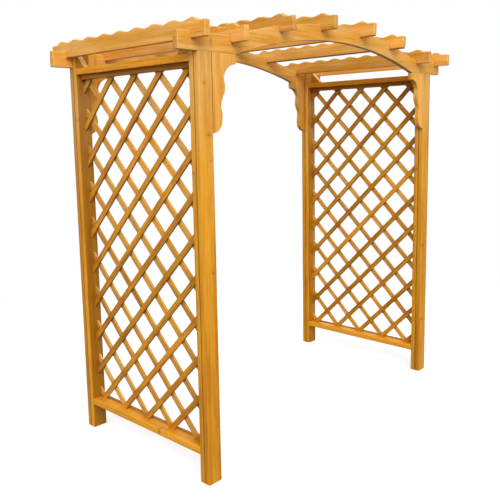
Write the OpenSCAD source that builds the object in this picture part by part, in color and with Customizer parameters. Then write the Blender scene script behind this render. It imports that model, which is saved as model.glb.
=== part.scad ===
// Garden arbor: two lattice side panels carrying a pair of arched beams
// and a run of boards on edge with scalloped tops.
// X runs along the span, Y through the walkway (front is -Y), Z up.
// The origin is on the ground, in the middle of the four posts.

/* [Overall] */
// Outside to outside of the posts, along the span
span_w = 1984; // [1900:1:2100]
// Outside to outside of the posts, front to back
depth_w = 978; // [900:1:1040]
// Ground to the underside of the arched beams
beam_z = 1934; // [1800:1:2200]

/* [Boards] */
// Width of the boards in the posts, rails and beams
board_w = 79; // [74:1:90]
// Thickness of the boards in the posts and beams
board_t = 30; // [25:1:38]
// Thickness of the rails
rail_t = 32; // [28:1:40]

/* [Arched beams] */
// Length of a beam, end to end
beam_len = 2202; // [2150:1:2400]
// Half width of the arch where its underside starts
arch_half = 764; // [700:1:766]
// Height of the arch's underside above the flat ends
arch_rise = 115; // [80:1:160]

/* [Top boards] */
// Length of a top board, front to back
purlin_len = 1156; // [1130:1:1300]
// Thickness of a top board
purlin_t = 28; // [22:1:34]
// Height of a top board at its scallops' crests
purlin_h = 83; // [79:1:90]
// How far a top board is let down over the beams
purlin_lap = 27; // [20:1:40]
// Spacing of the scallops
wave_pitch = 125; // [110:1:130]
// Number of scallops
wave_count = 9; // [7:2:9]
// Depth of the hollows between the scallops
wave_depth = 11; // [6:1:16]
// Depth of the flat ends below the scallops' crests
end_drop = 16; // [10:1:20]
// Run from the last crest down to the flat end
end_run = 37; // [20:1:40]

/* [Brackets] */
// Reach of a bracket from the post
bracket_w = 147; // [130:1:150]
// Height of a bracket's square nose
bracket_nose = 43; // [36:1:46]
// Height of a bracket
bracket_h = 341; // [320:1:360]

/* [Side panels] */
// Ground to the underside of the bottom rail
rail_low_z = 133; // [80:1:200]
// Ground to the underside of the top rail
rail_top_z = 1897; // [1800:1:1900]
// Width of a lattice slat
slat_w = 29; // [20:1:36]
// Thickness of a lattice slat
slat_t = 11; // [8:0.5:12]
// Panel's -X face to the lattice's -X face
slat_inset = 39; // [30:1:40]
// Crossings of the lattice, spacing along the panel
cross_y = 188.7; // [180:0.1:200]
// Crossings of the lattice, spacing up the panel
cross_z = 188.3; // [180:0.1:200]
// Height of the lowest row of crossings
cross_low = 164; // [150:1:200]
// Offset of the crossings from the panel's middle, toward the back
cross_shift = 14; // [-20:1:20]
// Height of the stop under the top rail
stop_top_h = 25; // [10:1:32]
// Height of the stop on the bottom rail
stop_low_h = 6; // [5:1:15]
// Thickness of the stops
stop_t = 16; // [10:1:16]
// Legs of the corner blocks on the top rails
block_leg = 75; // [50:1:80]
// Thickness of the corner blocks
block_t = 32; // [28:1:40]

/* [Hidden] */
$fn = 64;
post_x = span_w / 2;
post_y = depth_w / 2;
post_d = 2 * board_t;
clear_y = post_y - post_d;
beam_top = beam_z + board_w;
// Radius of the arch's underside, from its half width and rise
arch_r = (arch_half * arch_half + arch_rise * arch_rise) / (2 * arch_rise);
arch_cz = beam_z + arch_rise - arch_r;
top_r = arch_r + board_w;
// Half width of the arch where its top edge meets the flat ends
top_half = sqrt(top_r * top_r - pow(beam_top - arch_cz, 2));
rail_low_top = rail_low_z + rail_t;
lattice_h = rail_top_z - rail_low_top;
// The two layers of slats are let into each other by this much where they cross
slat_lap = 1;
lattice_t = 2 * slat_t - slat_lap;
lattice_cols = 4;
lattice_rows = 9;
// Where the eight top boards cross the beams
purlin_x = [-1016, -785, -462, -137, 213, 517, 823, 1052];
// How much deeper than the lap each one is let down
purlin_sink = [4, 6, 3, 3, 1, 1, -2, 0];
// Step along the scallops' outline
wave_step = 12;
// Width of a bracket under its hollow
bracket_neck = 69;
// Depths between which a bracket's edge swells
waist_top = 104;
waist_end = 284;
// Reach and depth of the upper swell, the taper, and the height and spacing of the swells
swell_reach = 71;
swell_at = 152;
swell_taper = 0.155;
swell_h = 8;
swell_pitch = 126;
wood = "#e0a04a";
dark_wood = "#c98a3a";
eps = 0.01;

// Outer board of a post: stands under the beam. sx, sy are -1 or 1.
module post_board(sx, sy) {
  x = sx * (post_x - board_w / 2);
  y = sy * (post_y - board_t / 2);
  color(wood)
    translate([x - board_w / 2, y - board_t / 2, 0])
      cube([board_w, board_t, beam_z]);
}

// Inner board of a post: runs up behind the beam to its top edge.
module stile_board(sx, sy) {
  x = sx * (post_x - board_w / 2);
  y = sy * (post_y - board_t * 1.5);
  color(wood)
    translate([x - board_w / 2, y - board_t / 2, 0])
      cube([board_w, board_t, beam_top]);
}

// Reach of a bracket below its hollow: a taper from the post with a cosine swell on it
function swell(v) =
  let (past = v - swell_at) swell_reach - swell_taper * past + swell_h * cos(360 * past / swell_pitch);
// Outline of a bracket, x out from the post and y down from the beam: a square nose,
// a round hollow under it, two swells, and a quarter of an ellipse back to the post.
function bracket_points() =
  let (hollow_r = bracket_w - bracket_neck, hollow_v = bracket_nose + hollow_r)
  concat(
    [[0, 0], [bracket_w, 0]],
    [for (a = [90 : 6 : 162]) [bracket_w + hollow_r * cos(a), -hollow_v + hollow_r * sin(a)]],
    [for (v = [waist_top : 9 : waist_end]) [swell(v), -v]],
    [for (a = [9 : 9 : 90]) [swell(waist_end) * cos(a), -waist_end - (bracket_h - waist_end) * sin(a)]]
  );

module bracket_outline() {
  polygon(bracket_points());
}

module bracket(sx, sy) {
  color(wood)
    translate([sx * (post_x - board_w), sy * (post_y - board_t / 2), beam_z])
      mirror([sx > 0 ? 1 : 0, 0, 0])
        rotate([90, 0, 0])
          linear_extrude(board_t, center = true) bracket_outline();
}

// Side outline of a beam: square ends and an arched middle, x along the span.
module beam_outline() {
  difference() {
    union() {
      translate([-beam_len / 2, beam_z]) square([beam_len, board_w]);
      intersection() {
        translate([0, arch_cz]) circle(r = top_r, $fn = 720);
        translate([-top_half, beam_z]) square([2 * top_half, board_w + arch_rise + 1]);
      }
    }
    intersection() {
      translate([0, arch_cz]) circle(r = arch_r, $fn = 720);
      translate([-arch_half, beam_z - 1]) square([2 * arch_half, arch_rise + 2]);
    }
  }
}

module arch_beam(sy) {
  color(wood)
    translate([0, sy * (post_y - board_t / 2), 0])
      rotate([90, 0, 0])
        linear_extrude(board_t, center = true) beam_outline();
}

// Top edge of a top board at y: a cosine between crests and hollows, and past the last
// crest half a cosine down to the flat end.
last_crest = wave_pitch * (wave_count - 1) / 2;
function wave_z(y) =
  abs(y) <= last_crest
    ? purlin_h - wave_depth * (1 - cos(360 * y / wave_pitch)) / 2
    : purlin_h - end_drop * (1 - cos(180 * min(1, (abs(y) - last_crest) / end_run))) / 2;

module top_board_outline(lap) {
  wave_end = last_crest + end_run;
  steps = 2 * ceil(wave_end / wave_step);
  difference() {
    polygon(concat(
      [[-purlin_len / 2, 0], [purlin_len / 2, 0], [purlin_len / 2, purlin_h - end_drop]],
      [for (i = [0 : steps]) let (y = wave_end * (1 - 2 * i / steps)) [y, wave_z(y)]],
      [[-purlin_len / 2, purlin_h - end_drop]]
    ));
    // Notches over the two beams
    for (s = [-1, 1])
      translate([s * (post_y - board_t / 2) - board_t / 2, -eps])
        square([board_t, lap + eps]);
  }
}

// The boards over the brackets and the posts stand on the beams' flat ends
function on_arch(x) = abs(x) < top_half - board_w;
// Height of the beam's top edge at x
function arch_z(x) = arch_cz + sqrt(top_r * top_r - x * x);
// Height at which a board at x sits: an upright one clears the arch at its inner face
function beam_top_at(x) = on_arch(x) ? arch_z(x) : max(beam_top, arch_z(abs(x) - purlin_t / 2));
// Boards on the arch lean with it
function lean_at(x) = on_arch(x) ? asin(x / top_r) : 0;

module top_board(i) {
  x = purlin_x[i];
  lap = purlin_lap + purlin_sink[i];
  color(wood)
    translate([x, 0, beam_top_at(x)])
      rotate([0, lean_at(x), 0])
        translate([0, 0, -lap])
          rotate([90, 0, 90])
            linear_extrude(purlin_t, center = true) top_board_outline(lap);
}

module rail(sx, z) {
  color(wood)
    translate([sx * (post_x - board_w / 2) - board_w / 2, -clear_y, z])
      cube([board_w, 2 * clear_y, rail_t]);
}

// One layer of slats, rising toward +Y or -Y with way.
module slat_layer(way) {
  reach = lattice_cols / 2 + lattice_rows;
  slat_len = 2 * reach * (cross_y + cross_z);
  intersection() {
    translate([0, -clear_y, rail_low_top]) cube([slat_t, 2 * clear_y, lattice_h]);
    for (k = [-reach : reach])
      translate([0, k * cross_y + cross_shift, cross_low])
        rotate([way * atan2(cross_z, cross_y), 0, 0])
          translate([0, -slat_len / 2, -slat_w / 2])
            cube([slat_t, slat_len, slat_w]);
  }
}

module lattice(sx) {
  color(dark_wood)
    translate([sx * (post_x - board_w / 2) - board_w / 2 + slat_inset, 0, 0]) {
      slat_layer(-1);
      translate([slat_t - slat_lap, 0, 0]) slat_layer(1);
    }
}

// Strip holding the lattice against a rail, inset from the panel's -X face.
module stop_strip(sx, inset, z, h) {
  color(wood)
    translate([sx * (post_x - board_w / 2) - board_w / 2 + inset, -clear_y, z])
      cube([stop_t, 2 * clear_y, h]);
}

module stop_top(sx) {
  stop_strip(sx, slat_inset - stop_t, rail_top_z - stop_top_h, stop_top_h);
}

module stop_bottom(sx) {
  stop_strip(sx, slat_inset + lattice_t, rail_low_top, stop_low_h);
}

// Block with a slanting face in the corner of an inner board and a top rail
module corner_block(sx, sy) {
  color(wood)
    translate([sx * (post_x - block_t / 2), sy * clear_y, rail_top_z + rail_t])
      rotate([90, 0, 90])
        linear_extrude(block_t, center = true)
          polygon([[0, 0], [0, block_leg], [-sy * block_leg, 0]]);
}

post_board(-1, -1);  // post_front_left
post_board(1, -1);  // post_front_right
post_board(-1, 1);  // post_back_left
post_board(1, 1);  // post_back_right
stile_board(-1, -1);  // stile_front_left
stile_board(1, -1);  // stile_front_right
stile_board(-1, 1);  // stile_back_left
stile_board(1, 1);  // stile_back_right
bracket(-1, -1);  // bracket_front_left
bracket(1, -1);  // bracket_front_right
bracket(-1, 1);  // bracket_back_left
bracket(1, 1);  // bracket_back_right
arch_beam(-1);  // arch_beam_front
arch_beam(1);  // arch_beam_back
top_board(0);  // top_board_1
top_board(1);  // top_board_2
top_board(2);  // top_board_3
top_board(3);  // top_board_4
top_board(4);  // top_board_5
top_board(5);  // top_board_6
top_board(6);  // top_board_7
top_board(7);  // top_board_8
rail(-1, rail_top_z);  // rail_top_left
rail(1, rail_top_z);  // rail_top_right
rail(-1, rail_low_z);  // rail_bottom_left
rail(1, rail_low_z);  // rail_bottom_right
lattice(-1);  // lattice_left
lattice(1);  // lattice_right
stop_top(-1);  // stop_top_left
stop_top(1);  // stop_top_right
stop_bottom(-1);  // stop_bottom_left
stop_bottom(1);  // stop_bottom_right
corner_block(-1, -1);  // corner_block_front_left
corner_block(1, -1);  // corner_block_front_right
corner_block(-1, 1);  // corner_block_back_left
corner_block(1, 1);  // corner_block_back_right
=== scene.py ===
# Garden arbor: every board, beam, bracket and slat, in stained timber
import math

import bpy
import numpy as np
from mathutils import Matrix, Vector


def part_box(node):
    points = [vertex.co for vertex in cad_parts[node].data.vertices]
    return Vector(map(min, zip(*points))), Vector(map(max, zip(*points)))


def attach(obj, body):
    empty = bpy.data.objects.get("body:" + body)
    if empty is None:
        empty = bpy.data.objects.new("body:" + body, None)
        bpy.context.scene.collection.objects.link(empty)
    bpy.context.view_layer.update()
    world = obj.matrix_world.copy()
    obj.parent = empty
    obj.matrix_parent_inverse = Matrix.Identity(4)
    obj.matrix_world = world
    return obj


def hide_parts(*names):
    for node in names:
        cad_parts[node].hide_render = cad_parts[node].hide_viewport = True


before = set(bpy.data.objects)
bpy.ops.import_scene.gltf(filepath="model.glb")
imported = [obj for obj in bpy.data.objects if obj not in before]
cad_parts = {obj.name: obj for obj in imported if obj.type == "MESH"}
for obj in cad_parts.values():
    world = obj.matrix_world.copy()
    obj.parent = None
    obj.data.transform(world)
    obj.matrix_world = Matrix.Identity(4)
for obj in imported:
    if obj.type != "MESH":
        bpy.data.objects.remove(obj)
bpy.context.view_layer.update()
print("frame loaded,", len(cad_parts), "nodes")
scene = bpy.context.scene
scene.view_settings.view_transform = "Standard"
rng = np.random.default_rng(19)


# Camera
eye = {
    "place": (-2.895, -2.562, 1.603),
    "yaw": 0.817,  # from +Y towards +X
    "pitch": -0.1408,
    "roll": -0.0172,
    "sensor": 36,
    "lens": 47.45,
    "shift": (-0.0021, -0.0527),
    "clip": (0.05, 200),
}


def aimCamera():
    yaw, pitch, roll = eye["yaw"], eye["pitch"], eye["roll"]
    ahead = Vector((math.sin(yaw) * math.cos(pitch), math.cos(yaw) * math.cos(pitch), math.sin(pitch)))
    level = Vector((math.cos(yaw), -math.sin(yaw), 0))
    over = level.cross(ahead)
    right = level * math.cos(roll) + over * math.sin(roll)
    up = over * math.cos(roll) - level * math.sin(roll)
    data = bpy.data.cameras.new("camera")
    data.sensor_width = eye["sensor"]
    data.lens = eye["lens"]
    data.shift_x, data.shift_y = eye["shift"]
    data.clip_start, data.clip_end = eye["clip"]
    camera = bpy.data.objects.new("camera", data)
    camera.matrix_world = Matrix((right, up, -ahead)).transposed().to_4x4()
    camera.location = eye["place"]
    scene.collection.objects.link(camera)
    scene.camera = camera


aimCamera()
print("camera placed")


# Node helpers
def addNode(tree, kind, inputs=None, **settings):
    made = tree.nodes.new(kind)
    for key, value in settings.items():
        setattr(made, key, value)
    for key, value in (inputs or {}).items():
        if isinstance(value, bpy.types.NodeSocket):
            tree.links.new(value, made.inputs[key])
        else:
            made.inputs[key].default_value = value
    return made


def attribute(tree, name, output="Fac"):
    return addNode(tree, "ShaderNodeAttribute", attribute_name=name).outputs[output]


def calc(tree, how, *terms):
    return addNode(tree, "ShaderNodeMath", dict(enumerate(terms)), operation=how).outputs[0]


def swung(tree, noise, strength, base):  # base, plus strength times how far the noise is off its middle
    return calc(tree, "MULTIPLY_ADD", calc(tree, "SUBTRACT", noise, 0.5), strength, base)


def spread(tree, value, low, high, toLow=0.0, toHigh=1.0):  # smooth step from low to high
    terms = {"Value": value, "From Min": low, "From Max": high, "To Min": toLow, "To Max": toHigh}
    return addNode(tree, "ShaderNodeMapRange", terms, interpolation_type="SMOOTHSTEP").outputs["Result"]


def stretched(tree, vector, scale):  # the same vector, each axis times its own number
    terms = {0: vector, 1: scale}
    return addNode(tree, "ShaderNodeVectorMath", terms, operation="MULTIPLY").outputs["Vector"]


def cloudy(tree, vector, scale, detail=2.0, rough=0.5):
    terms = {"Vector": stretched(tree, vector, scale), "Scale": 1.0, "Detail": detail, "Roughness": rough}
    return addNode(tree, "ShaderNodeTexNoise", terms)


def blendColour(tree, share, first, second):
    terms = {"Factor": share, 6: first, 7: second}
    return addNode(tree, "ShaderNodeMix", terms, data_type="RGBA").outputs[2]


def colour(red, green, blue):  # screen values 0 to 255 to linear
    c = np.array([red, green, blue]) / 255
    c = np.where(c <= 0.04045, c / 12.92, ((c + 0.055) / 1.055) ** 2.4)
    return (*c.tolist(), 1.0)


# Stained timber
timber = {
    "pale": colour(230, 158, 38),
    "deep": colour(184, 111, 9),
    "knot": colour(150, 86, 20),
    "endGrain": colour(196, 126, 34),
    # Dark colour for cracks and for painted shade in crevices and on shaded faces
    "crackAndShade": colour(112, 70, 4),
    # Paler colour of the arrises: wear and a painted highlight
    "wearAndHighlight": colour(240, 186, 96),
    # Paler colour: painted sheen toward the top, painted highlight on the corner blocks' slanting faces,
    # and the fade of the inner layer of slats
    "sheenAndFade": colour(246, 207, 140),
    "topSheen": 0.14,  # share of the painted sheen at the top
    "topSheenFrom": (1.2, 1.9),  # heights over which it comes in
    "foot": 0.05,  # painted shade: how much darker the wood is at the ground
    "footTo": 0.9,
    "ringWidth": 0.0050,  # metres between growth rings
    "warp": 0.012,  # how far the rings wander
    "swollen": 0.007,  # how far they give way to a knot
    "knotRun": 0.055,  # cell length along the board
    "knotTurn": 0.9,  # cells per radian round the heart
    "knotChance": 0.045,
    "knotReach": (0.11, 0.21),  # half size, in cells
    "knotShare": 0.55,
    "haloShare": 0.3,
    "split": (0.69, 0.78),  # levels of the noise over which a crack opens
    "splitShare": 0.6,
    "depth": 0.30,  # mean depth of stain, to which the next five add
    "rings": 0.36,
    "broad": 1.9,
    "streak": 1.6,
    "blotch": 0.5,
    "fibre": 0.35,
    "hue": 0.004,
    # Painted shade where parts come close: reach in metres and share
    "shadeReach": 0.035,
    "shadeShare": 0.8,
    "roughness": 0.52,
    "specular": 0.18,
    "bump": 0.0009,  # metres
}

# Noises along, across and through the grain: scales per metre, detail and roughness
noises = {
    "wander": ((1.1, 7.0, 7.0), 2.0, 0.5),
    "uneven": ((0.9, 14.0, 14.0), 2.0, 0.5),
    "broad": ((0.8, 26.0, 26.0), 2.0, 0.5),
    "streak": ((3.5, 95.0, 95.0), 3.0, 0.6),
    "split": ((8.0, 210.0, 210.0), 1.0, 0.5),
    "fibre": ((40.0, 900.0, 900.0), 2.0, 0.6),
    "blotch": ((6.0, 34.0, 34.0), 3.0, 0.55),
    "patch": ((3.0, 24.0, 24.0), 2.0, 0.5),
}

# Darkness across one growth ring: the late wood is a narrow band before the next one starts
ringStart = 0.1
ringSteps = ((0.35, 0.05), (0.7, 0.45), (0.86, 1.0), (0.93, 0.9))


# Growth rings are cylinders round the heart of the tree, which lies beside the board, so a
# wide face shows them as flames and an end as arcs. Knots run out from the heart: cells in
# length and angle, with a spot in the few that are drawn.
def makeTimber(name, lift, change=None):
    look = dict(timber, **(change or {}))
    material = bpy.data.materials.new(name)
    material.use_nodes = True
    tree = material.node_tree
    tree.nodes.clear()
    grain, run, tone = (attribute(tree, key, "Vector") for key in ("grain", "run", "tone"))
    edge, jointAndShade, litAndFadedShare = (attribute(tree, key) for key in ("edge", "jointAndShade", "litAndFadedShare"))
    lightness, hue, stainDepth = addNode(tree, "ShaderNodeSeparateXYZ", {0: tone}).outputs
    along, across, through = addNode(tree, "ShaderNodeSeparateXYZ", {0: grain}).outputs
    drift = cloudy(tree, grain, *noises["wander"]).outputs["Color"]
    noise = {key: cloudy(tree, grain, *noises[key]).outputs["Fac"] for key in noises if key != "wander"}

    wander = addNode(tree, "ShaderNodeSeparateXYZ", {0: drift}).outputs
    side = swung(tree, wander[0], look["warp"], across)
    inward = swung(tree, wander[1], look["warp"], through)
    radius = calc(tree, "MULTIPLY_ADD", side, side, calc(tree, "MULTIPLY", inward, inward))
    radius = calc(tree, "SQRT", radius)
    turn = calc(tree, "ARCTAN2", side, inward)

    cell = addNode(tree, "ShaderNodeCombineXYZ", {
        0: calc(tree, "DIVIDE", along, look["knotRun"]),
        1: calc(tree, "MULTIPLY", turn, look["knotTurn"]),
    })
    terms = {"Vector": cell.outputs[0], "Scale": 1.0}
    spots = addNode(tree, "ShaderNodeTexVoronoi", terms, voronoi_dimensions="2D")
    drawn = addNode(tree, "ShaderNodeSeparateColor", {0: spots.outputs["Color"]})
    isKnot = calc(tree, "LESS_THAN", drawn.outputs[0], look["knotChance"])
    least, most = look["knotReach"]
    reach = calc(tree, "MULTIPLY_ADD", drawn.outputs[1], most - least, least)
    off = calc(tree, "DIVIDE", spots.outputs["Distance"], reach)
    knot = calc(tree, "MULTIPLY", spread(tree, off, 1.0, 0.55), isKnot)
    halo = calc(tree, "MULTIPLY", spread(tree, off, 2.6, 0.9), isKnot)

    swollen = calc(tree, "MULTIPLY_ADD", calc(tree, "MULTIPLY", halo, halo), look["swollen"], radius)
    phase = calc(tree, "DIVIDE", swollen, look["ringWidth"])
    phase = calc(tree, "MULTIPLY_ADD", noise["uneven"], 1.6, phase)
    rings = addNode(tree, "ShaderNodeValToRGB", {0: calc(tree, "FRACT", phase)})
    ramp = rings.color_ramp
    ramp.interpolation = "B_SPLINE"
    ramp.elements[0].color = ramp.elements[1].color = (*(ringStart,) * 3, 1)
    for at, level in ringSteps:
        ramp.elements.new(at).color = (level, level, level, 1)
    strong = spread(tree, noise["uneven"], 0.3, 0.7, 0.45, 1.0)
    late = calc(tree, "MULTIPLY", rings.outputs["Color"], strong)

    share = calc(tree, "MULTIPLY_ADD", late, look["rings"], look["depth"])
    for key in ("broad", "streak", "blotch", "fibre"):
        share = swung(tree, noise[key], look[key], share)
    share = calc(tree, "ADD", share, stainDepth)
    share = addNode(tree, "ShaderNodeClamp", {0: share}).outputs[0]
    stain = blendColour(tree, share, look["pale"], look["deep"])

    facing = addNode(tree, "ShaderNodeNewGeometry").outputs["Normal"]
    terms = {0: facing, 1: run}
    cut = addNode(tree, "ShaderNodeVectorMath", terms, operation="DOT_PRODUCT").outputs["Value"]
    cut = spread(tree, calc(tree, "ABSOLUTE", cut), 0.55, 0.95)
    soaked = calc(tree, "MULTIPLY", cut, calc(tree, "MULTIPLY_ADD", late, 0.3, 0.45))
    # Paler arrises: wear, and a painted highlight where rounded edges catch the light
    rubbedAndLit = calc(tree, "MULTIPLY", edge, spread(tree, noise["streak"], 0.3, 0.7, 0.05, 0.5))
    split = spread(tree, noise["split"], *look["split"])
    stain = blendColour(tree, soaked, stain, look["endGrain"])
    stain = blendColour(tree, rubbedAndLit, stain, look["wearAndHighlight"])
    stain = blendColour(tree, calc(tree, "MULTIPLY", halo, look["haloShare"]), stain, look["endGrain"])
    stain = blendColour(tree, calc(tree, "MULTIPLY", knot, look["knotShare"]), stain, look["knot"])
    stain = blendColour(tree, calc(tree, "MULTIPLY", split, look["splitShare"]), stain, look["crackAndShade"])

    position = addNode(tree, "ShaderNodeTexCoord").outputs["Object"]
    upward = addNode(tree, "ShaderNodeSeparateXYZ", {0: position}).outputs[2]
    ragged = swung(tree, noise["broad"], 0.6, upward)
    # Painted sheen: the wood is painted paler toward the top
    litAndFadedShare = calc(tree, "ADD", litAndFadedShare, spread(tree, ragged, *look["topSheenFrom"], 0.0, look["topSheen"]))
    litAndFadedShare = calc(tree, "MULTIPLY", litAndFadedShare, spread(tree, noise["patch"], 0.3, 0.7, 0.3, 1.8))
    stain = blendColour(tree, litAndFadedShare, stain, look["sheenAndFade"])
    # Painted shade where parts come close, by ambient occlusion, joined with the marked dark seams and
    # shaded faces
    terms = {"Distance": look["shadeReach"]}
    openness = addNode(tree, "ShaderNodeAmbientOcclusion", terms, only_local=True, samples=12)
    closeShade = spread(tree, openness.outputs["AO"], 0.95, 0.35, 0.0, look["shadeShare"])
    stain = blendColour(tree, calc(tree, "MAXIMUM", jointAndShade, closeShade), stain, look["crackAndShade"])
    footShade = spread(tree, ragged, 0.0, look["footTo"], 1.0 - look["foot"], 1.0)
    board = addNode(tree, "ShaderNodeHueSaturation", {
        "Hue": calc(tree, "MULTIPLY_ADD", hue, look["hue"], 0.5),
        "Saturation": 1.0,
        "Value": calc(tree, "MULTIPLY", calc(tree, "ADD", lightness, lift), footShade),
        "Color": stain,
    })

    height = calc(tree, "MULTIPLY_ADD", noise["fibre"], 0.5, calc(tree, "MULTIPLY", late, 0.4))
    height = calc(tree, "MULTIPLY_ADD", noise["streak"], 0.5, height)
    height = calc(tree, "MULTIPLY_ADD", knot, 0.6, height)
    height = calc(tree, "SUBTRACT", height, split)
    bump = addNode(tree, "ShaderNodeBump", {"Strength": 0.5, "Distance": look["bump"], "Height": height})
    gloss = calc(tree, "MULTIPLY_ADD", noise["streak"], 0.22, look["roughness"] - 0.11)
    gloss = calc(tree, "MULTIPLY_ADD", cut, 0.16, gloss)
    shader = addNode(tree, "ShaderNodeBsdfPrincipled", {
        "Base Color": board.outputs[0],
        "Roughness": gloss,
        "Specular IOR Level": look["specular"],
        "Normal": bump.outputs[0],
    })
    addNode(tree, "ShaderNodeOutputMaterial", {"Surface": shader.outputs[0]})
    return material


postTimber = makeTimber("postTimber", 1.0, {"knotChance": 0.07, "topSheen": 0.22})
topTimber = makeTimber("topTimber", 1.05, {"broad": 1.0, "topSheen": 0.2})
railTimber = makeTimber("railTimber", 1.04, {"topSheen": 0.0, "foot": 0.0, "blotch": 0.9})
slatTimber = makeTimber("slatTimber", 0.86, {"knotChance": 0.03, "blotch": 3.0, "topSheen": 0.05})
print("timber materials made")


# Building boards
# Where the heart of the tree lies from a board: along it, aside, and beyond its face
heart = {"along": (3, 60), "aside": (-0.045, 0.045), "beyond": (0.018, 0.07)}
# How far boards differ in lightness, hue and depth of stain
tones = {"spread": 0.42, "reach": (0.1, 1, 0.16)}
rounding = {
    "corner": 5,  # points over a rounded corner of a straight board
    "steps": 4,  # rings or points over any other rounding
    "capInset": 0.003,  # ring inside an end face
    "support": 0.004,  # ring on the flat beside a rounded end
    "sharp": 0.5,  # least bend of an outline's corner that is rounded, in radians
    "room": 0.9,  # share of its shorter side that a rounded corner may take
}
shapedRim = np.array((0, 0.6, 1, 1, 0.5, 0, 0, 0.5, 1, 1, 0.6, 0))  # wear and painted highlight over a shaped board's rings


# A board's own axes: along its grain, across its face and through its thickness.
def grainOf(points, centre, axes, thick):
    local = (points - centre) @ np.array(axes, float).T
    start = (rng.uniform(*heart["along"]), rng.uniform(*heart["aside"]))
    beyond = thick / 2 + rng.uniform(*heart["beyond"])
    local[:, 2] *= rng.choice((-1, 1))
    return local + (*start, beyond)


def toneOf(span=1.0, lighter=0.0, paler=0.0):  # lightness, hue and depth of stain of one board
    drawn = rng.normal(0, tones["spread"], 3).clip(-1, 1) * span
    return drawn * tones["reach"] + (lighter, 0, -paler)


def ringFaces(rings, size):  # quads between closed rings of equal size, and the two caps
    index = np.arange(rings * size).reshape(rings, size)
    beside = np.roll(index, -1, axis=1)
    quads = np.stack([index[:-1], beside[:-1], beside[1:], index[1:]], axis=-1).reshape(-1, 4)
    return quads, np.stack([index[0, ::-1], index[-1]])


# A straight board: a rectangle with rounded corners is carried along the board, and close to
# each end it draws in by endEase * (1 - cos a) while it moves on by endEase * sin a.
def straightBoard(low, high, axis, ease, endEase):
    low, high = np.array(low, float), np.array(high, float)
    size = high - low
    along = np.eye(3)[axis]
    others = [i for i in range(3) if i != axis]
    wide, thin = sorted(others, key=lambda i: -size[i])
    across, through = np.eye(3)[wide], np.eye(3)[thin]
    if np.dot(np.cross(across, through), along) < 0:
        across = -across
    centre = (low + high) / 2
    halfWide, halfThin, halfLong = size[wide] / 2, size[thin] / 2, size[axis] / 2
    ease = min(ease, halfThin * 0.6)
    endEase = min(endEase, ease * 0.6)
    bend = np.linspace(0, math.pi / 2, rounding["corner"])
    turn = np.concatenate([bend + k * math.pi / 2 for k in range(4)])
    signX = np.repeat((1, -1, -1, 1), rounding["corner"])
    signY = np.repeat((1, 1, -1, -1), rounding["corner"])
    step = np.linspace(0, math.pi / 2, rounding["steps"])
    inset = endEase * (1 - np.cos(step))
    reach = halfLong - endEase + endEase * np.sin(step)
    cap = [endEase + rounding["capInset"]]
    flatTo = reach[0] - rounding["support"]
    inset = np.concatenate([cap, inset[::-1], [0, 0], inset, cap])
    reach = np.concatenate([[-halfLong], -reach[::-1], [-flatTo, flatTo], reach, [halfLong]])
    radius = np.maximum(ease - inset, ease * 0.2)[:, None]
    x = signX * (halfWide - inset[:, None] - radius) + radius * np.cos(turn)
    y = signY * (halfThin - inset[:, None] - radius) + radius * np.sin(turn)
    points = x[..., None] * across + y[..., None] * through + reach[:, None, None] * along
    points = points.reshape(-1, 3) + centre
    return points, ringFaces(len(reach), len(turn)), centre, (along, across, through), size[thin]


# Outline points with the way each one faces. The mean normal stands for a plain point; an
# outward corner becomes an arc of the given radius, whose points face away from its middle.
def easedOutline(outline, radius):
    steps = rounding["steps"]
    flat = np.array(outline, float)
    ahead = np.roll(flat, -1, axis=0)
    if (flat[:, 0] * ahead[:, 1] - ahead[:, 0] * flat[:, 1]).sum() < 0:
        flat = flat[::-1]
        ahead = np.roll(flat, -1, axis=0)
    leave = ahead - flat
    length = np.linalg.norm(leave, axis=1, keepdims=True)
    leave = leave / length
    arrive = np.roll(leave, 1, axis=0)
    room = np.minimum(length, np.roll(length, 1, axis=0))[:, 0]
    bend = np.arctan2(arrive[:, 0] * leave[:, 1] - arrive[:, 1] * leave[:, 0], (arrive * leave).sum(axis=1))
    mean = np.stack([leave[:, 1] + arrive[:, 1], -leave[:, 0] - arrive[:, 0]], axis=1)
    mean /= 1 + (leave * arrive).sum(axis=1, keepdims=True)
    takes = radius * np.tan(np.clip(bend, 0, 2.6) / 2)
    isCorner = (bend > rounding["sharp"]) & (takes < room * rounding["room"])
    count = np.where(isCorner, steps, 1)
    which = np.repeat(np.arange(len(flat)), count)
    part = (np.arange(len(which)) - np.repeat(np.cumsum(count) - count, count)) / (steps - 1)
    angle = np.arctan2(-arrive[which, 0], arrive[which, 1]) + bend[which] * part
    face = np.where(isCorner[which, None], np.stack([np.cos(angle), np.sin(angle)], axis=1), mean[which])
    shift = np.where(isCorner[which, None], radius * (face - mean[which]), 0)
    return flat[which] + shift, face


# A shaped board: a rounded edge is carried round a closed outline. At each outline point the
# surface draws in by ease * (1 - cos a) the way the point faces while it rises by ease * sin a.
def shapedBoard(outline, thick, ease, centre, axes):
    flat, normal = easedOutline(outline, ease * 1.4)
    step = np.linspace(0, math.pi / 2, rounding["steps"])
    inset = np.concatenate([[0], ease * (1 - np.cos(step)), [ease * 1.25]])
    rise = thick / 2 - ease + ease * np.concatenate([[-0.5], np.sin(step), [1]])
    inset = np.concatenate([inset[::-1], inset])
    rise = np.concatenate([-rise[::-1], rise])
    face = flat - inset[:, None, None] * normal
    first, second, third = np.array(axes, float)
    points = face[..., :1] * first + face[..., 1:] * second + rise[:, None, None] * third
    return points.reshape(-1, 3) + centre, ringFaces(len(rise), len(flat))


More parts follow.
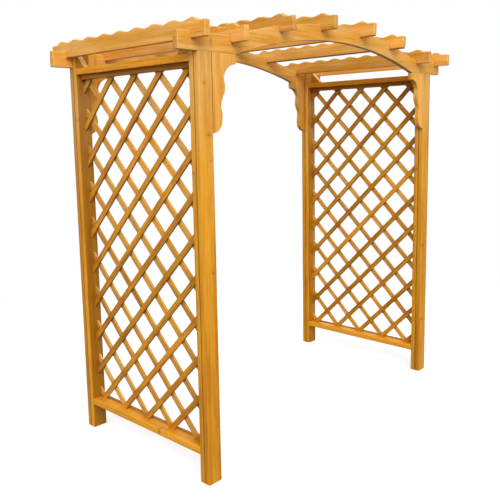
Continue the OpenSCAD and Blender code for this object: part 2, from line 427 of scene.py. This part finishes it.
def makePiece(name, parts, material, nodes):
    keys = {"grain": 3, "run": 3, "tone": 3, "edge": 1, "jointAndShade": 1, "litAndFadedShare": 1}
    points, faces, values = [], [], {key: [] for key in keys}
    count = 0
    for part in parts:
        size = len(part["points"])
        points.append(part["points"])
        faces += [face for faceSet in part["faces"] for face in (faceSet + count).tolist()]
        count += size
        for key, width in keys.items():
            values[key].append(np.broadcast_to(part.get(key, 0.0), (size, 3) if width == 3 else size))
    mesh = bpy.data.meshes.new(name)
    mesh.from_pydata(np.concatenate(points).tolist(), [], faces)
    for key, width in keys.items():
        kind, field = ("FLOAT_VECTOR", "vector") if width == 3 else ("FLOAT", "value")
        held = mesh.attributes.new(key, kind, "POINT")
        held.data.foreach_set(field, np.concatenate(values[key]).astype(np.float32).ravel())
    mesh.polygons.foreach_set("use_smooth", np.ones(len(mesh.polygons), bool))
    mesh.set_sharp_from_angle(angle=math.radians(40))
    mesh.materials.append(material)
    mesh.update()
    piece = bpy.data.objects.new(name, mesh)
    scene.collection.objects.link(piece)
    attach(piece, "root")
    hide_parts(*nodes)


def straightPart(low, high, axis, ease, endEase, span, lighter, paler):
    points, faces, centre, axes, thick = straightBoard(low, high, axis, ease, endEase)
    ringSize = 4 * rounding["corner"]
    rim = np.zeros(len(points) // ringSize)
    rim[[1, 2, 3, -2, -3, -4]] = 1
    return {
        "points": points,
        "faces": faces,
        "run": axes[0],
        "tone": toneOf(span, lighter, paler),
        "grain": grainOf(points, centre, axes, thick),
        "edge": np.repeat(rim, ringSize),
    }


# The grain runs along the outline's first axis, or with isUpright along its second.
def shapedPart(outline, thick, ease, centre, axes, isUpright=False, span=1.0, lighter=0.0, paler=0.0):
    points, faces = shapedBoard(outline, thick, ease, centre, axes)
    first, second, third = axes
    own = (second, first, third) if isUpright else axes
    return {
        "points": points,
        "faces": faces,
        "run": own[0],
        "tone": toneOf(span, lighter, paler),
        "grain": grainOf(points, np.array(centre, float), own, thick),
        "edge": np.repeat(shapedRim, len(points) // len(shapedRim)),
    }


# Posts, rails and stops
straight = {
    "ease": 0.0045,
    "endEase": 0.0014,
    "railEase": 0.003,
    "stopEase": 0.0025,
    "span": 0.5,  # how far the boards differ
    "seam": 0.004,  # reach of the dark line between two boards
    "inner": 0.6,  # painted shade on the faces that the lattice meets
    "innerOf": {"stile_back_left": 0.7},
    "lighter": {
        "stile_front_left": 0.05,
        "stile_back_left": 0.18,
        "stile_back_right": 0.3,
        "post_back_left": -0.14,
        "rail_bottom_left": 0.1,
        "rail_bottom_right": 0.08,
        "rail_top_left": 0.16,
        "rail_top_right": 0.12,
        # The stops are painted darker: painted shade under the rails and behind the slats
        "stop_top_left": -0.42,
        "stop_top_right": -0.42,
        "stop_bottom_left": -0.4,
        "stop_bottom_right": -0.4,
    },
    "paler": {
        "rail_bottom_left": 0.2,
        "rail_bottom_right": 0.15,
        # The top stops' deeper stain is painted shade as well
        "stop_top_left": -0.3,
        "stop_top_right": -0.3,
    },
}
corners = ("front_left", "front_right", "back_left", "back_right")


def straightPiece(node, axis, ease, material, seamAt=None, innerAt=None):
    low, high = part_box(node)
    lighter, paler = straight["lighter"].get(node, 0), straight["paler"].get(node, 0)
    tone = {"span": straight["span"], "lighter": lighter, "paler": paler}
    part = straightPart(low, high, axis, straight[ease], straight["endEase"], **tone)
    if seamAt is not None:
        # A dark seam line beside the next board, and painted shade on the face that the lattice meets
        y = part["points"][:, 1]
        seam = 1 - abs(y - seamAt) / straight["seam"]
        innerShade = straight["innerOf"].get(node, straight["inner"])
        inner = innerShade * (1 - abs(y - innerAt) / straight["seam"])
        part["jointAndShade"] = np.maximum(seam, inner).clip(0, 1)
    makePiece(node + "_board", [part], material, [node])


for corner in corners:
    low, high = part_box("post_" + corner)
    seamAt, thick = (high.y, high.y - low.y) if corner.startswith("front") else (low.y, low.y - high.y)
    for kind in ("post", "stile"):
        straightPiece(f"{kind}_{corner}", 2, "ease", postTimber, seamAt, seamAt + thick)
for side in ("left", "right"):
    for kind in ("rail_top", "rail_bottom", "stop_top", "stop_bottom"):
        ease = "railEase" if kind.startswith("rail") else "stopEase"
        straightPiece(f"{kind}_{side}", 1, ease, railTimber)
print("posts, rails and stops made")

# Corner blocks: triangles standing on the top rails against the inner boards. The slanting
# face is painted paler, a painted highlight, and the flat ones get painted shade.
block = {"ease": 0.002, "span": 0.6, "paler": 0.25, "litAndFadedShare": 0.75, "shaded": 0.45}
for corner in corners:
    node = "corner_block_" + corner
    low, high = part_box(node)
    ahead = 1 if corner.startswith("front") else -1
    origin = ((low.x + high.x) / 2, low.y if ahead > 0 else high.y, low.z)
    outline = np.array([(0, 0), (ahead * (high.y - low.y), 0), (0, high.z - low.z)])
    axes = ((0, 1, 0), (0, 0, 1), (1, 0, 0))
    thick = high.x - low.x
    part = shapedPart(outline, thick, block["ease"], origin, axes, span=block["span"], paler=block["paler"])
    rings = len(shapedRim)
    isSide = np.repeat(abs(np.arange(rings) - (rings - 1) / 2) < 2, len(part["points"]) // rings)
    # Painted highlight on the slanting face and painted shade on the flat ones
    part["litAndFadedShare"] = block["litAndFadedShare"] * isSide
    part["jointAndShade"] = block["shaded"] * ~isSide
    makePiece(node + "_board", [part], railTimber, [node])
print("corner blocks made")

# Arched beams
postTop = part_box("post_front_left")[1].z
beamLow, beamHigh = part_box("arch_beam_front")
beam = {
    "width": 0.079,
    "half": 0.764,  # where the underside starts to rise
    "rise": 0.115,
    "steps": 73,
    "ease": 0.003,
}
beamTop = postTop + beam["width"]
archRadius = (beam["half"] ** 2 + beam["rise"] ** 2) / (2 * beam["rise"])
archCentre = postTop + beam["rise"] - archRadius
crownRadius = archRadius + beam["width"]
crownHalf = math.sqrt(crownRadius ** 2 - (beamTop - archCentre) ** 2)


# The outline runs along a flat, up over an arc and along a flat, below and then above.
def beamOutline():
    under = np.linspace(-beam["half"], beam["half"], beam["steps"])
    over = np.linspace(crownHalf, -crownHalf, beam["steps"])
    below = np.stack([under, archCentre + np.sqrt(archRadius ** 2 - under ** 2)], axis=1)
    above = np.stack([over, archCentre + np.sqrt(crownRadius ** 2 - over ** 2)], axis=1)
    ends = [(beamHigh.x, postTop), (beamHigh.x, beamTop)]
    starts = [(beamLow.x, beamTop), (beamLow.x, postTop)]
    return np.concatenate([below, ends, above, starts]) - (0, beamTop)


for side in ("front", "back"):
    node = "arch_beam_" + side
    low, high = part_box(node)
    origin = (0, (low.y + high.y) / 2, beamTop)
    axes = ((1, 0, 0), (0, 0, 1), (0, -1, 0))
    part = shapedPart(beamOutline(), high.y - low.y, beam["ease"], origin, axes)
    makePiece(node + "_board", [part], topTimber, [node])
print("arched beams made")

# Brackets
bracket = {
    "nose": 0.043,
    "neck": 0.069,  # width left under the hollow
    "hollowTo": 162,  # degrees
    "waist": (0.104, 0.284),  # depths between which the edge swells
    "swellAt": 0.152,
    "swellReach": 0.071,
    "swellHeight": 0.008,
    "swellPitch": 0.126,
    "taper": 0.155,
    "footFrom": 6,  # degrees
    "ease": 0.003,
    "seam": 0.9,  # darkness of the edge at the post
}


def swell(depth):
    past = depth - bracket["swellAt"]
    wave = bracket["swellHeight"] * np.cos(2 * math.pi * past / bracket["swellPitch"])
    return bracket["swellReach"] - bracket["taper"] * past + wave


# Under the square nose a round hollow, then a taper with a cosine swell on it, then a quarter
# of an ellipse back to the post.
def bracketOutline(reach, height):
    hollow = reach - bracket["neck"]
    a = np.radians(np.linspace(90, bracket["hollowTo"], 13))
    scoop = np.stack([reach + hollow * np.cos(a), -bracket["nose"] - hollow + hollow * np.sin(a)], axis=1)
    depth = np.linspace(*bracket["waist"], 31)
    waist = np.stack([swell(depth), -depth], axis=1)
    a = np.radians(np.linspace(bracket["footFrom"], 90, 15))
    tip = bracket["waist"][1]
    foot = np.stack([swell(tip) * np.cos(a), -tip - (height - tip) * np.sin(a)], axis=1)
    return np.concatenate([[(0, 0), (reach, 0)], scoop, waist, foot])


for corner in corners:
    node = "bracket_" + corner
    low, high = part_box(node)
    inward = 1 if corner.endswith("left") else -1
    outline = bracketOutline(high.x - low.x, high.z - low.z) * (inward, 1)
    origin = (low.x if inward > 0 else high.x, (low.y + high.y) / 2, high.z)
    axes = ((1, 0, 0), (0, 0, 1), (0, -1, 0))
    part = shapedPart(outline, high.y - low.y, bracket["ease"], origin, axes, isUpright=True)
    offPost = abs(part["points"][:, 0] - origin[0])
    part["jointAndShade"] = bracket["seam"] * np.clip(1 - offPost / bracket["ease"], 0, 1)
    makePiece(node + "_board", [part], topTimber, [node])
print("brackets made")

# Top boards
topBoard = {
    "at": (-1.016, -0.785, -0.462, -0.137, 0.213, 0.517, 0.823, 1.052),
    "sink": (0.004, 0.006, 0.003, 0.003, 0.001, 0.001, -0.002, 0),  # let down by so much more
    "lighter": (0.06, 0.03, 0, 0, 0, 0, 0, 0),
    "width": 0.083,
    "thick": 0.028,
    "lap": 0.027,  # let down over the beams
    "pitch": 0.125,
    "crests": 9,
    "hollow": 0.011,
    "endDrop": 0.016,
    "endRun": 0.037,
    "steps": 181,
    "ease": 0.003,
}


# The top edge is a cosine between crests and hollows, and past the last crest half a cosine
# down to the flat end. The notches below fit over the two beams.
def topOutline(halfLong, notches, lap):
    last = topBoard["pitch"] * (topBoard["crests"] - 1) / 2
    y = np.linspace(last + topBoard["endRun"], -last - topBoard["endRun"], topBoard["steps"])
    turn = 2 * math.pi * y / topBoard["pitch"]
    crest = topBoard["width"] - topBoard["hollow"] * (1 - np.cos(turn)) / 2
    past = np.minimum(1, (abs(y) - last) / topBoard["endRun"])
    fall = topBoard["width"] - topBoard["endDrop"] * (1 - np.cos(math.pi * past)) / 2
    wave = np.stack([y, np.where(abs(y) <= last, crest, fall)], axis=1)
    flatEnd = topBoard["width"] - topBoard["endDrop"]
    under = [(-halfLong, 0)]
    for low, high in notches:
        under += [(low, 0), (low, lap), (high, lap), (high, 0)]
    outline = np.concatenate([under, [(halfLong, 0), (halfLong, flatEnd)], wave, [(-halfLong, flatEnd)]])
    return outline - (0, lap)


# A board stands on the flat beam ends, or on the arch's top edge and then leans with it.
def seatOf(x):
    if abs(x) < crownHalf - beam["width"]:
        return archCentre + math.sqrt(crownRadius ** 2 - x ** 2), math.asin(x / crownRadius)
    inner = max(abs(x) - topBoard["thick"] / 2, 0)
    return max(beamTop, archCentre + math.sqrt(crownRadius ** 2 - inner ** 2)), 0


notches = [(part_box(node)[0].y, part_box(node)[1].y) for node in ("arch_beam_front", "arch_beam_back")]
eachBoard = zip(topBoard["at"], topBoard["sink"], topBoard["lighter"])
for number, (x, sink, lighter) in enumerate(eachBoard, 1):
    node = f"top_board_{number}"
    seat, lean = seatOf(x)
    axes = ((0, 1, 0), (math.sin(lean), 0, math.cos(lean)), (math.cos(lean), 0, -math.sin(lean)))
    outline = topOutline(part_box(node)[1].y, notches, topBoard["lap"] + sink)
    part = shapedPart(outline, topBoard["thick"], topBoard["ease"], (x, 0, seat), axes, lighter=lighter)
    makePiece(node + "_board", [part], topTimber, [node])
print("top boards made")

# Lattice
slat = {
    "width": 0.029,
    "thick": 0.011,
    "stepY": 0.1887,  # between crossings
    "stepZ": 0.1883,
    "first": (0.014, 0.164),  # y and z of a crossing in the lowest row
    "reach": 11,  # crossings tried to each side of it
    "shortest": 0.03,  # a shorter sliver in a corner is left out
    "ease": 0.0012,
    "span": 1.8,  # how far the slats differ
    "paler": 0.12,  # the inner layer against the outer
    "fades": (0.2, 2.0),  # share of that by which one slat is bleached
    "underside": 0.55,  # painted shade on the lower edges
}


# A slat is the strip between two slanting lines inside the panel's frame: its corners are the
# crossings of every two of the six lines that lie inside all six, in order of angle.
def slatOutline(lines):
    normals, offsets = lines[:, :2], lines[:, 2]
    a, b = np.triu_indices(len(lines), 1)
    cross = normals[a, 0] * normals[b, 1] - normals[a, 1] * normals[b, 0]
    a, b, cross = a[abs(cross) > 1e-6], b[abs(cross) > 1e-6], cross[abs(cross) > 1e-6]
    y = (offsets[a] * normals[b, 1] - offsets[b] * normals[a, 1]) / cross
    z = (normals[a, 0] * offsets[b] - normals[b, 0] * offsets[a]) / cross
    points = np.stack([y, z], axis=1)
    points = points[(points @ normals.T <= offsets + 1e-7).all(axis=1)]
    if len(points) < 3:
        return None
    middle = points.mean(axis=0)
    order = np.argsort(np.arctan2(points[:, 1] - middle[1], points[:, 0] - middle[0]))
    return points[order]


def slatPart(outline, x, run, normal, paler):
    centre = outline.mean(axis=0)
    own = np.stack([(outline - centre) @ run, (outline - centre) @ normal], axis=1)
    axes = ((0, *run), (0, *normal), (1, 0, 0))
    look = {"span": slat["span"], "lighter": paler / 2, "paler": paler}
    part = shapedPart(own, slat["thick"], slat["ease"], (x, *centre), axes, **look)
    part["litAndFadedShare"] = paler * rng.uniform(*slat["fades"])
    # Painted shade along the slat's lower edge
    above = part["points"][:, 1:] @ normal - centre @ normal + slat["width"] / 2
    part["jointAndShade"] = slat["underside"] * np.clip(1 - above / slat["ease"], 0, 1)
    return part


for side in ("left", "right"):
    node = "lattice_" + side
    low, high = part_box(node)
    frameLines = [(1, 0, high.y), (-1, 0, -low.y), (0, 1, high.z), (0, -1, -low.z)]
    length = math.hypot(slat["stepY"], slat["stepZ"])
    parts = []
    for way, x in ((-1, low.x + slat["thick"] / 2), (1, high.x - slat["thick"] / 2)):
        run = np.array((slat["stepY"], way * slat["stepZ"])) / length
        normal = np.array((-run[1], run[0]))
        paler = slat["paler"] if way > 0 else 0
        for k in range(-slat["reach"], slat["reach"] + 1):
            middle = normal @ (k * slat["stepY"] + slat["first"][0], slat["first"][1])
            strip = [(*normal, middle + slat["width"] / 2), (*-normal, slat["width"] / 2 - middle)]
            outline = slatOutline(np.array(frameLines + strip))
            if outline is not None and np.ptp(outline @ run) >= slat["shortest"]:
                parts.append(slatPart(outline, x, run, normal, paler))
    makePiece(node + "_slats", parts, slatTimber, [node])
print("lattice made")


# Floor, backdrop and light
stage = {
    "size": 60.0,
    "bounce": 0.06,  # floor as the arbor sees it
    "white": 0.80,  # floor as it is seen
    "glow": 0.46,
    "fade": (2.0, 3.6),  # distances over which it becomes plain white
}
lights = {
    "key": {"place": (-6.2, -8.6, 7.8), "size": 8.0, "power": 900},
    "back": {"place": (6.5, 4.5, 4.5), "size": 5.0, "power": 160},
}
lightsAim = (0, 0, 1.1)
sky = {
    "horizon": 1.4,
    "overhead": 0.5,
    "front": (-0.64, -0.77, 0),
    "before": 1.25,
    "behind": 0.4,
}


def seenStraight(tree):  # 1 for camera, glossy and transmission rays
    rays = addNode(tree, "ShaderNodeLightPath").outputs
    bent = calc(tree, "MAXIMUM", rays["Is Glossy Ray"], rays["Is Transmission Ray"])
    return calc(tree, "MAXIMUM", rays["Is Camera Ray"], bent)


def makeFloor():
    half = stage["size"] / 2
    points = [(-half, -half, 0), (half, -half, 0), (half, half, 0), (-half, half, 0)]
    mesh = bpy.data.meshes.new("floor")
    mesh.from_pydata(points, [], [(0, 1, 2, 3)])
    floor = bpy.data.objects.new("floor", mesh)
    scene.collection.objects.link(floor)
    material = bpy.data.materials.new("paleFloor")
    material.use_nodes = True
    tree = material.node_tree
    tree.nodes.clear()
    dull = addNode(tree, "ShaderNodeBsdfDiffuse", {"Color": (stage["bounce"],) * 3 + (1,)})
    pale = addNode(tree, "ShaderNodeBsdfDiffuse", {"Color": (stage["white"],) * 3 + (1,)})
    glow = addNode(tree, "ShaderNodeEmission", {"Strength": stage["glow"]})
    both = addNode(tree, "ShaderNodeAddShader", {0: pale.outputs[0], 1: glow.outputs[0]})
    position = addNode(tree, "ShaderNodeTexCoord").outputs["Object"]
    away = addNode(tree, "ShaderNodeVectorMath", {0: position}, operation="LENGTH").outputs["Value"]
    white = addNode(tree, "ShaderNodeEmission", {"Strength": 1.0})
    terms = {0: spread(tree, away, *stage["fade"]), 1: both.outputs[0], 2: white.outputs[0]}
    shown = addNode(tree, "ShaderNodeMixShader", terms)
    terms = {0: seenStraight(tree), 1: dull.outputs[0], 2: shown.outputs[0]}
    final = addNode(tree, "ShaderNodeMixShader", terms)
    addNode(tree, "ShaderNodeOutputMaterial", {"Surface": final.outputs[0]})
    mesh.materials.append(material)


def makeLights():
    for name, light in lights.items():
        data = bpy.data.lights.new(name, "AREA")
        data.shape = "DISK"
        data.size = light["size"]
        data.energy = light["power"]
        lamp = bpy.data.objects.new(name, data)
        lamp.location = light["place"]
        toAim = Vector(lightsAim) - Vector(light["place"])
        lamp.rotation_euler = toAim.to_track_quat("-Z", "Y").to_euler()
        scene.collection.objects.link(lamp)


def makeSky():
    world = bpy.data.worlds.new("studio")
    scene.world = world
    world.use_nodes = True
    tree = world.node_tree
    tree.nodes.clear()
    seen = seenStraight(tree)
    toward = addNode(tree, "ShaderNodeTexCoord").outputs["Generated"]
    height = addNode(tree, "ShaderNodeSeparateXYZ", {0: toward}).outputs[2]
    terms = {0: toward, 1: sky["front"]}
    front = addNode(tree, "ShaderNodeVectorMath", terms, operation="DOT_PRODUCT").outputs["Value"]
    dome = spread(tree, height, 0, 1, sky["horizon"], sky["overhead"])
    dome = calc(tree, "MULTIPLY", dome, spread(tree, front, -1, 1, sky["behind"], sky["before"]))
    level = calc(tree, "ADD", seen, calc(tree, "MULTIPLY", dome, calc(tree, "SUBTRACT", 1, seen)))
    back = addNode(tree, "ShaderNodeBackground", {"Color": (1, 1, 1, 1), "Strength": level})
    addNode(tree, "ShaderNodeOutputWorld", {"Surface": back.outputs[0]})


makeFloor()
makeLights()
makeSky()
print("floor and lights made")
